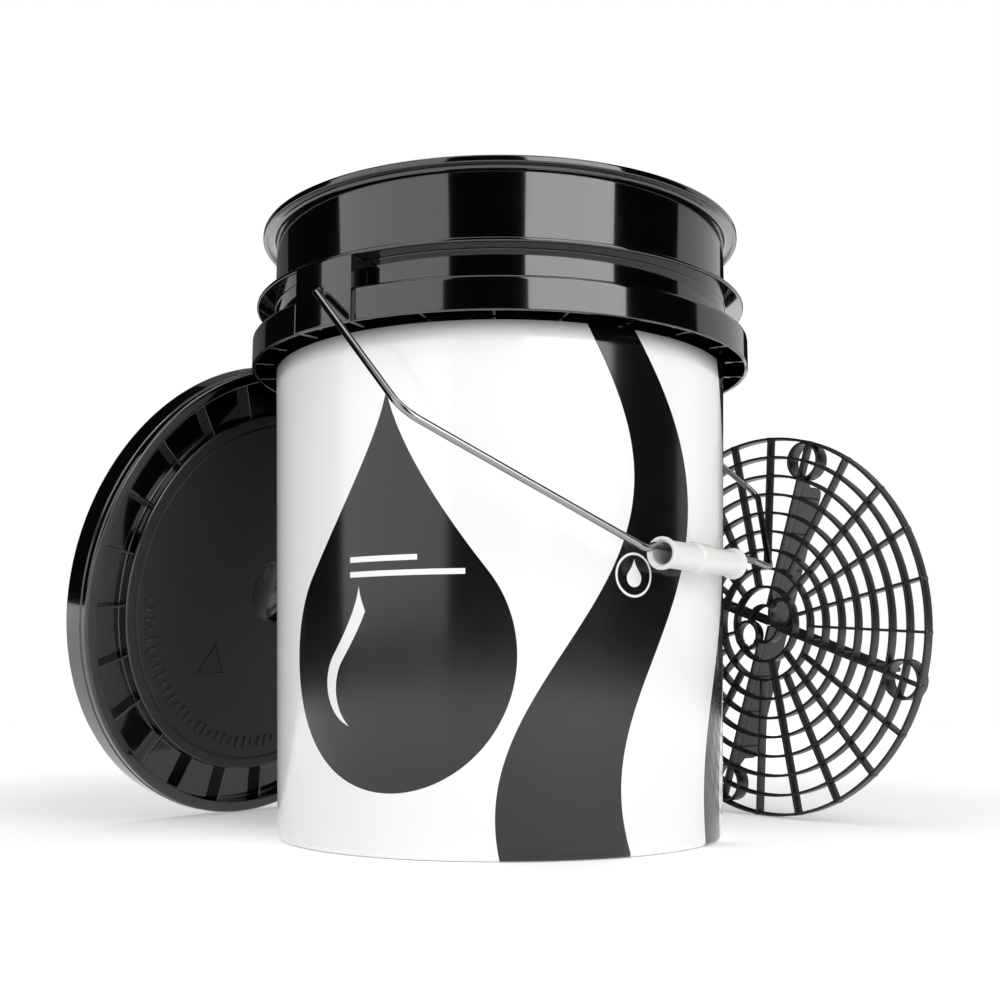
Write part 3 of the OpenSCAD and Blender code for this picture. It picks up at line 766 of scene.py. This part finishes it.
class WASH_OT_bucket(bpy.types.Operator):
    """Make the pail: floor, tapered body, neck, flange and turned rim in one moulding"""
    bl_idname = "wash_bucket.bucket"
    bl_label = "Make the pail"

    def execute(self, context):
        tub = context.scene.wash_tub
        shell = turned("pail_moulding", tub_corners(tub), made("gloss"))
        settle(shell, "bucket", "bucket_black", "tub_wall", "tub_floor")
        return {"FINISHED"}


class WASH_OT_collar(bpy.types.Operator):
    """Make the stacking skirt in two halves, the ribs behind it and the two bail ears"""
    bl_idname = "wash_bucket.collar"
    bl_label = "Make the collar"

    def execute(self, context):
        tub = context.scene.wash_tub
        neck = tub.bore + tub.neck_wall
        low = tub.height - tub.skirt_drop
        high = low + tub.skirt_height
        wall = 2.2 * MM
        web = high - 2.4 * MM
        ear_half = tub.ear / 2 / tub.skirt
        corners = [(neck - 0.5 * MM, web, 0), (tub.skirt - wall, web, 1.2 * MM),
                   (tub.skirt - wall, low, 0.7 * MM), (tub.skirt, low, 0.7 * MM), (tub.skirt, high, 2.6 * MM),
                   (neck - 0.5 * MM, high, 0)]
        work = bmesh.new()
        for half in (0, math.pi):
            turn_outline(work, rounded(corners), start=EAR_TURN + half + ear_half,
                         sweep=math.pi - 2 * ear_half, steps=ROUND // 2)
        skirt = object_of("stacking_skirt_halves", closed_mesh(work), made("gloss"))
        settle(skirt, "bucket", "bucket_black", "stacking_skirt")
        ribs = grow("collar_ribs", rib_tree(), {
            "Count": tub.ribs, "Inner radius": neck, "Length": tub.skirt - wall - neck,
            "Thickness": tub.rib, "Height": web - low - 0.8 * MM, "Foot": low + 0.8 * MM,
            "Turn": EAR_TURN, "Free angle": ear_half + math.radians(1)}, made("gloss"))
        bevel(ribs, 0.4 * MM)
        settle(ribs, "bucket", "bucket_black", "skirt_ribs")
        for side, turn in (("front", EAR_TURN), ("rear", EAR_TURN + math.pi)):
            self.ear(tub, side, turn, ear_half)
        return {"FINISHED"}

    def ear(self, tub, side, turn, half):
        """A box that is open below, with a lip round the wire's hole and a bored boss behind it."""
        neck = tub.bore + tub.neck_wall
        low = tub.height - tub.skirt_drop
        high = tub.height - tub.flange_drop
        out = tub.skirt + 1.4 * MM
        wall = 3.4 * MM
        shell = [(out - wall, low, 0.6 * MM), (out, low, 0.8 * MM), (out, high, 1.2 * MM), (neck, high, 0),
                 (neck, high - 2 * MM, 0), (out - wall, high - 2 * MM, 0.8 * MM)]
        cheek_out, cheek_top = out - wall / 2, high - 1 * MM
        cheek = [(neck, low, 0), (cheek_out, low, 0), (cheek_out, cheek_top, 0), (neck, cheek_top, 0)]
        work = bmesh.new()
        turn_outline(work, rounded(shell), start=turn - half, sweep=2 * half, steps=24)
        for start in (turn - half + 0.001, turn + half - 0.020):
            turn_outline(work, rounded(cheek), start=start, sweep=0.019, steps=2)
        ear = object_of("ear_box_" + side, closed_mesh(work), made("gloss"))
        bevel(ear, 0.5 * MM, 3, 50)
        settle(ear, "bucket", "bucket_black", "bail_ear_" + side)
        pivot = Vector(JOINTS["bail_swing"]["pos_m"])
        right = Vector((math.cos(turn), math.sin(turn), 0))
        place = axes_at(right.cross(UP), UP, right, pivot)
        hole, head_hole, boss_r = 2.15 * MM, 4.2 * MM, 6.5 * MM
        face = [(hole, out - 1 * MM, 0), (4.4 * MM, out - 1 * MM, 0), (4.0 * MM, out + 0.5 * MM, 0.5 * MM),
                (hole, out + 0.5 * MM, 0.4 * MM)]
        back, front = neck + 1.4 * MM, out - wall + 0.2 * MM
        boss = [(head_hole, back, 0.4 * MM), (boss_r, back, 0.4 * MM), (boss_r, front, 0),
                (head_hole, front, 0)]
        work = bmesh.new()
        for outline in (face, boss):
            turn_outline(work, rounded(outline), steps=64)
        bush = object_of("ear_boss_" + side, closed_mesh(work, place), made("gloss"))
        settle(bush, "bucket", "bucket_black")


class WASH_OT_sleeve(bpy.types.Operator):
    """Make the printed sleeve, which wraps the body and turns in under its lower corner"""
    bl_idname = "wash_bucket.sleeve"
    bl_label = "Make the printed sleeve"

    def execute(self, context):
        tub = context.scene.wash_tub
        out = foot_arc(tub, tub.sleeve, -60, 0)
        back = foot_arc(tub, 0.02 * MM, 0, -60)
        top = body_radius(tub, SLEEVE_TOP)
        work = bmesh.new()
        steps = 24
        rise = [Vector((out[-1].x, out[-1].y)).lerp(Vector((top + tub.sleeve, SLEEVE_TOP)), i / steps)
                for i in range(1, steps + 1)]
        turn_outline(work, out + rise + [Vector((top + 0.02 * MM, SLEEVE_TOP))] + back)
        sleeve = object_of("printed_sleeve", closed_mesh(work), made("sleeve"))
        settle(sleeve, "bucket", "sleeve_print", "printed_wrap")
        return {"FINISHED"}


# ---------------------------------------------------------------- bail

def bent(corners, steps=14):
    """A path through corners (x, y, bend radius), bent to true arcs."""
    path = [Vector(corners[0][:2])]
    for i in range(1, len(corners) - 1):
        here = Vector(corners[i][:2])
        back = (Vector(corners[i - 1][:2]) - here).normalized()
        on = (Vector(corners[i + 1][:2]) - here).normalized()
        half = back.angle(on) / 2
        radius = corners[i][2]
        centre = here + (back + on).normalized() * radius / math.sin(half)
        start = here + back * radius / math.tan(half) - centre
        end = here + on * radius / math.tan(half) - centre
        sweep = start.angle_signed(end)
        path += [centre + Matrix.Rotation(-sweep * j / steps, 2) @ start for j in range(steps + 1)]
    return path + [Vector(corners[-1][:2])]


class WASH_OT_bail(bpy.types.Operator):
    """Make the bail: one bent wire with a head at each end"""
    bl_idname = "wash_bucket.bail"
    bl_label = "Make the bail"

    def execute(self, context):
        size = context.scene.wash_bail
        place, reach = bail_axes()
        head = 152.0 * MM    # from the middle to the back of a head
        half = [(head, 0, 0), (size.leg_out, 0, 5 * MM), (size.leg_out + size.lean, size.leg, 18 * MM),
                (size.jog_out + 14 * MM, reach + size.jog_dip, 8 * MM), (size.jog_out, reach, 8 * MM)]
        other = [(-x, y, r) for x, y, r in reversed(half)]
        path = bent(half + other)
        seed = bpy.data.meshes.new("bail path")
        seed.from_pydata([(p.x, p.y, 0) for p in path], [(i, i + 1) for i in range(len(path) - 1)], [])
        wire = grow("bail_wire_bent", wire_tree(), {"Wire radius": size.wire}, made("zinc"), place, seed)
        work = bmesh.new()
        cap_r, cap_t = 3.4 * MM, 1.6 * MM
        outline = rounded([(0, 0, 0), (cap_r, 0, 0.5 * MM), (cap_r, cap_t, 0.5 * MM), (0, cap_t, 0)])
        turn_outline(work, outline, steps=48)
        cap = closed_mesh(work)
        caps = bmesh.new()
        for side in (1, -1):
            ready = cap.copy()
            ready.transform(place @ Matrix.Translation((side * (head - 0.8 * MM), 0, 0))
                            @ Matrix.Rotation(math.pi / 2, 4, "Y") @ Matrix.Translation((0, 0, -0.8 * MM)))
            caps.from_mesh(ready)
        heads = object_of("bail_heads", closed_mesh(caps), made("zinc"))
        settle(wire, "bail", "bail_steel", "bail_wire")
        settle(heads, "bail", "bail_steel")
        return {"FINISHED"}


class WASH_OT_grip(bpy.types.Operator):
    """Make the grip: a moulded tube with flared ends and a collar in the middle"""
    bl_idname = "wash_bucket.grip"
    bl_label = "Make the grip"

    def execute(self, context):
        size = context.scene.wash_bail
        end = size.grip_length / 2
        tube = size.grip_radius
        out = tube + size.flare
        bore = size.grip_bore
        half = [(bore, -end + 1.4 * MM, 0.6 * MM), (bore + 1.2 * MM, -end, 0.4 * MM), (out, -end, 0.6 * MM),
                (out, -end + 2 * MM, 0.6 * MM), (tube, -end + 3 * MM, 0.8 * MM), (tube, -8 * MM, 1 * MM),
                (out - 0.2 * MM, -6 * MM, 0.5 * MM)]
        other = [(x, -y, r) for x, y, r in reversed(half)]
        right = Vector(JOINTS["grip_spin"]["axis"]).normalized()
        side = right.cross(UP)
        place = axes_at(side, UP, side.cross(UP), Vector(JOINTS["grip_spin"]["pos_m"]))
        grip = turned("grip_tube", half + other, made("grip"), place, steps=96)
        settle(grip, "grip", "grip_white", "grip")
        return {"FINISHED"}


# ---------------------------------------------------------------- lid

def lid_corners(lid):
    wall = 2.4 * MM
    panel_z = -2 * MM
    floor = -lid.groove_depth
    under = floor - wall
    foot = under - 11 * MM
    skirt_in = lid.radius - wall
    plug_in = lid.plug - 2.8 * MM
    mark = lid.panel - 8.5 * MM    # a fine step round the panel
    dip = panel_z - lid.dimple_depth
    return [(0, dip, 0), (lid.dimple - 1.6 * MM, dip, 1.0 * MM), (lid.dimple, panel_z, 0.6 * MM),
            (mark - 0.6 * MM, panel_z, 0.2 * MM), (mark, panel_z - 0.8 * MM, 0.2 * MM),
            (mark + 1.2 * MM, panel_z - 0.8 * MM, 0.2 * MM), (mark + 1.8 * MM, panel_z, 0.2 * MM),
            (lid.panel, panel_z, 1.8 * MM), (lid.panel, floor, 1.2 * MM), (lid.groove, floor, 1.2 * MM),
            (lid.groove, 0, 1.4 * MM), (lid.radius - 0.6 * MM, 0, 2 * MM),
            (lid.radius - 0.6 * MM, -5.6 * MM, 0.4 * MM), (lid.radius, -6 * MM, 0.4 * MM),
            (lid.radius, -lid.depth, 0.8 * MM), (skirt_in, -lid.depth, 0.8 * MM), (skirt_in, -wall, 1.2 * MM),
            (lid.groove + 1.2 * MM, -wall, 0.8 * MM), (lid.groove + 1.2 * MM, under, 0.8 * MM),
            (lid.plug, under, 0.8 * MM), (lid.plug, foot + 2 * MM, 0.8 * MM),
            (lid.plug - 1 * MM, foot, 0.6 * MM), (plug_in, foot, 0.8 * MM), (plug_in, under, 0.8 * MM),
            (lid.panel - wall, under, 0.8 * MM), (lid.panel - wall, panel_z - wall, 1.2 * MM),
            (lid.dimple + 2 * MM, panel_z - wall, 1.2 * MM), (lid.dimple + 0.5 * MM, dip - wall, 1.2 * MM),
            (0, dip - wall, 0)]


class WASH_OT_lid(bpy.types.Operator):
    """Make the lid: one moulding with its grained panel, the groove's ribs and the gasket"""
    bl_idname = "wash_bucket.lid"
    bl_label = "Make the lid"

    def execute(self, context):
        lid = context.scene.wash_lid
        place = standing_axes("lid_lift_away", lid.lean, "lid_skirt", "lid_groove")
        shell = turned("lid_moulding", lid_corners(lid), made("gloss"), place)
        shell.data.materials.append(made("panel"))
        to_lid = place.inverted()
        for face in shell.data.polygons:
            spot = to_lid @ face.center
            on_panel = math.hypot(spot.x, spot.y) < lid.panel - 1 * MM and spot.z > -7 * MM
            if on_panel and (to_lid.to_3x3() @ face.normal).z > 0.3:
                face.material_index = 1
        settle(shell, "lid", "lid_black", "lid_panel", "lid_groove", "lid_plug", "lid_skirt")
        ribs = grow("lid_groove_ribs", rib_tree(), {
            "Count": 24, "Inner radius": lid.panel - 0.3 * MM, "Length": lid.groove - lid.panel + 0.6 * MM,
            "Thickness": 1.8 * MM, "Height": lid.groove_depth - 2.8 * MM,
            "Foot": -lid.groove_depth - 0.2 * MM, "Turn": 0.0, "Free angle": -1.0}, made("gloss"), place)
        bevel(ribs, 0.5 * MM)
        settle(ribs, "lid", "lid_black", "lid_ribs")
        high = -lid.groove_depth - 2.4 * MM
        low = high - 2.6 * MM
        near, far = lid.plug + 0.05 * MM, lid.plug + 9 * MM
        section = [(near, high, 0.4 * MM), (far, high, 0.4 * MM), (far, low, 1.1 * MM), (near, low, 1.1 * MM)]
        gasket = turned("lid_gasket_ring", section, made("rubber"), place)
        settle(gasket, "lid", "gasket_rubber", "lid_gasket")
        marks = grow("lid_raised_bars", mark_tree(), {
            "Count": 34, "Radius": lid.panel - 19 * MM, "First angle": math.radians(186),
            "Sweep": math.radians(120), "Height": 0.9 * MM, "Base": -2.3 * MM}, made("panel"), place)
        settle(marks, "lid", "lid_black")
        return {"FINISHED"}


# ---------------------------------------------------------------- grit guard

class WASH_OT_guard(bpy.types.Operator):
    """Make the grit guard: its grid of rings and spokes, and four fins under it"""
    bl_idname = "wash_bucket.guard"
    bl_label = "Make the grit guard"

    def execute(self, context):
        size = context.scene.wash_guard
        place = standing_axes("guard_lift_away", 0.0, "guard_grid", "guard_grid")
        right, rise, at = place.col[0].to_3d(), place.col[1].to_3d(), place.translation
        fin_rise, fin_right = middle("guard_fin_1", rise), middle("guard_fin_1", right)
        spin = math.atan2(fin_rise - at.dot(rise), fin_right - at.dot(right))
        place = place @ Matrix.Rotation(spin, 4, "Z")
        grid = grow("guard_grid_bars", grid_tree(), {
            "Radius": size.radius, "Rings": size.rings, "Spokes": size.spokes, "Bar": size.bar,
            "Bar height": size.bar_height, "Finger radius": size.finger,
            "Finger height": size.bar_height + 4 * MM, "Socket radius": size.socket}, made("guard"), place)
        settle(grid, "guard", "guard_black", "guard_grid")
        for i in range(4):
            self.fin(size, place @ Matrix.Rotation(i * math.pi / 2, 4, "Z"), i + 1)
        return {"FINISHED"}

    def fin(self, size, place, number):
        step = (size.radius - 1 * MM) / size.rings
        tip = 9 * step - size.finger
        foot = 0.76 * size.radius
        top = -size.bar_height + 0.3 * MM
        low = -size.depth
        outline = rounded([(1.2 * MM, top, 0), (1.2 * MM, low, 1 * MM), (foot, low, 6 * MM),
                           (foot, top - 8 * MM, 2 * MM), (tip + 2 * MM, top - 4 * MM, 2 * MM),
                           (tip + 2 * MM, top, 0)])
        work = bmesh.new()
        near = [work.verts.new((p.x, -size.fin / 2, p.y)) for p in outline]
        far = [work.verts.new((p.x, size.fin / 2, p.y)) for p in outline]
        work.faces.new(near)
        work.faces.new(list(reversed(far)))
        for i in range(len(outline)):
            j = (i + 1) % len(outline)
            work.faces.new((near[j], near[i], far[i], far[j]))
        bead_r = size.fin / 2 + 0.9 * MM
        for k in (3, 5, 7):
            bead = bmesh.ops.create_cone(work, cap_ends=True, segments=20, radius1=bead_r, radius2=bead_r,
                                         depth=size.depth - size.bar_height - 2 * MM)
            middle_z = (low + 2 * MM - size.bar_height) / 2
            bmesh.ops.translate(work, verts=bead["verts"], vec=(k * step, 0, middle_z))
        fin = object_of("guard_fin_plate_%d" % number, closed_mesh(work, place), made("guard"))
        bevel(fin, 0.4 * MM)
        settle(fin, "guard", "guard_black", "guard_fin_%d" % number)


# ---------------------------------------------------------------- stage

LIGHTS = {
    # name: direction round from -Y (degrees), distance, width, height, middle height, brightness
    "left softbox": (-52.9, 2.0, 2.26, 2.2, 1.2, 1.45),
    "right softbox": (33.2, 2.0, 1.62, 1.9, 1.3, 3.9),
    "right rear softbox": (120.0, 2.0, 1.90, 2.2, 1.2, 0.6),
    "left rear softbox": (-150.0, 2.2, 1.60, 2.2, 1.2, 0.1),
}


def softbox(name, place, width, height, brightness):
    lamp = bpy.data.lights.new(name, "AREA")
    lamp.shape = "RECTANGLE"
    lamp.size, lamp.size_y = width, height
    lamp.energy = brightness * math.pi * width * height
    item = bpy.data.objects.new(name, lamp)
    item.location = place
    towards = Vector((0, 0, min(place.z, 1.0))) - place
    item.rotation_euler = towards.to_track_quat("-Z", "Y").to_euler()
    bpy.context.scene.collection.objects.link(item)


class WASH_OT_stage(bpy.types.Operator):
    """Make the stage: a pale floor, soft lights and the camera"""
    bl_idname = "wash_bucket.stage"
    bl_label = "Make the stage"

    def execute(self, context):
        scene = context.scene
        work = bmesh.new()
        bmesh.ops.create_circle(work, cap_ends=True, segments=96, radius=2.2)
        floor = object_of("studio_floor", closed_mesh(work), made("floor"))
        floor.data.transform(Matrix.Translation((0, 0, -0.3 * MM)))
        for name, (turn, far, width, height, middle_z, brightness) in LIGHTS.items():
            angle = math.radians(turn)
            place = Vector((math.sin(angle) * far, -math.cos(angle) * far, middle_z))
            softbox(name, place, width, height, brightness)
        softbox("top softbox", Vector((0, -0.3, 2.6)), 2.4, 2.4, 1.5)
        camera = bpy.data.objects.new("camera", bpy.data.cameras.new("camera"))
        camera.data.sensor_width = 36
        camera.data.lens = 46.39
        camera.location = (0, -0.8044, 0.08856)
        camera.rotation_euler = (math.radians(98.19), 0, 0)
        scene.collection.objects.link(camera)
        scene.camera = camera
        scene.view_settings.view_transform = "Standard"
        self.surroundings(scene)
        return {"FINISHED"}

    def surroundings(self, scene):
        """White behind the object, and a dim room in its reflections."""
        world = bpy.data.worlds.new("studio")
        world.use_nodes = True
        tree = world.node_tree
        tree.nodes.clear()
        path = add(tree, "ShaderNodeLightPath")
        room = add(tree, "ShaderNodeBackground", {"Color": (1, 1, 1, 1), "Strength": 0.006})
        white = add(tree, "ShaderNodeBackground", {"Color": (1, 1, 1, 1), "Strength": 1.0})
        both = add(tree, "ShaderNodeMixShader", {0: path.outputs["Is Camera Ray"], 1: room, 2: white})
        add(tree, "ShaderNodeOutputWorld", {"Surface": both})
        scene.world = world


# ---------------------------------------------------------------- add-on

MAKERS = {"gloss": gloss_black, "panel": panel_black, "guard": guard_black, "zinc": zinc_wire,
          "grip": white_grip, "rubber": gasket_rubber, "sleeve": sleeve_film, "floor": floor_paint}
FINISHES = {}


def made(key):
    """A finish, made when it is first asked for."""
    if key not in FINISHES:
        FINISHES[key] = MAKERS[key](bpy.context.scene.wash_colours)
    return FINISHES[key]


class WASH_PT_panel(bpy.types.Panel):
    """Lists the pieces and their sizes"""
    bl_idname = "WASH_PT_panel"
    bl_label = "Wash bucket"
    bl_space_type = "VIEW_3D"
    bl_region_type = "UI"
    bl_category = "Wash bucket"

    def draw(self, context):
        for maker in OPERATORS:
            self.layout.operator(maker.bl_idname)
        for group in GROUPS:
            held = getattr(context.scene, group)
            for key in held.bl_rna.properties.keys():
                if key not in ("rna_type", "name"):
                    self.layout.prop(held, key)


GROUPS = {"wash_tub": TubSizes, "wash_bail": BailSizes, "wash_lid": LidSizes, "wash_guard": GuardSizes,
          "wash_colours": FinishColours}
OPERATORS = (WASH_OT_stage, WASH_OT_bucket, WASH_OT_collar, WASH_OT_sleeve, WASH_OT_bail, WASH_OT_grip,
             WASH_OT_lid, WASH_OT_guard)


def register():
    for kind in (*GROUPS.values(), *OPERATORS, WASH_PT_panel):
        bpy.utils.register_class(kind)
    for name, kind in GROUPS.items():
        setattr(bpy.types.Scene, name, PointerProperty(type=kind))


def unregister():
    for name in GROUPS:
        delattr(bpy.types.Scene, name)
    for kind in reversed((*GROUPS.values(), *OPERATORS, WASH_PT_panel)):
        bpy.utils.unregister_class(kind)


def main():
    register()
    for maker in OPERATORS:
        area, name = maker.bl_idname.split(".")
        getattr(getattr(bpy.ops, area), name)()
    bpy.context.view_layer.update()


if __name__ == "__main__":
    main()
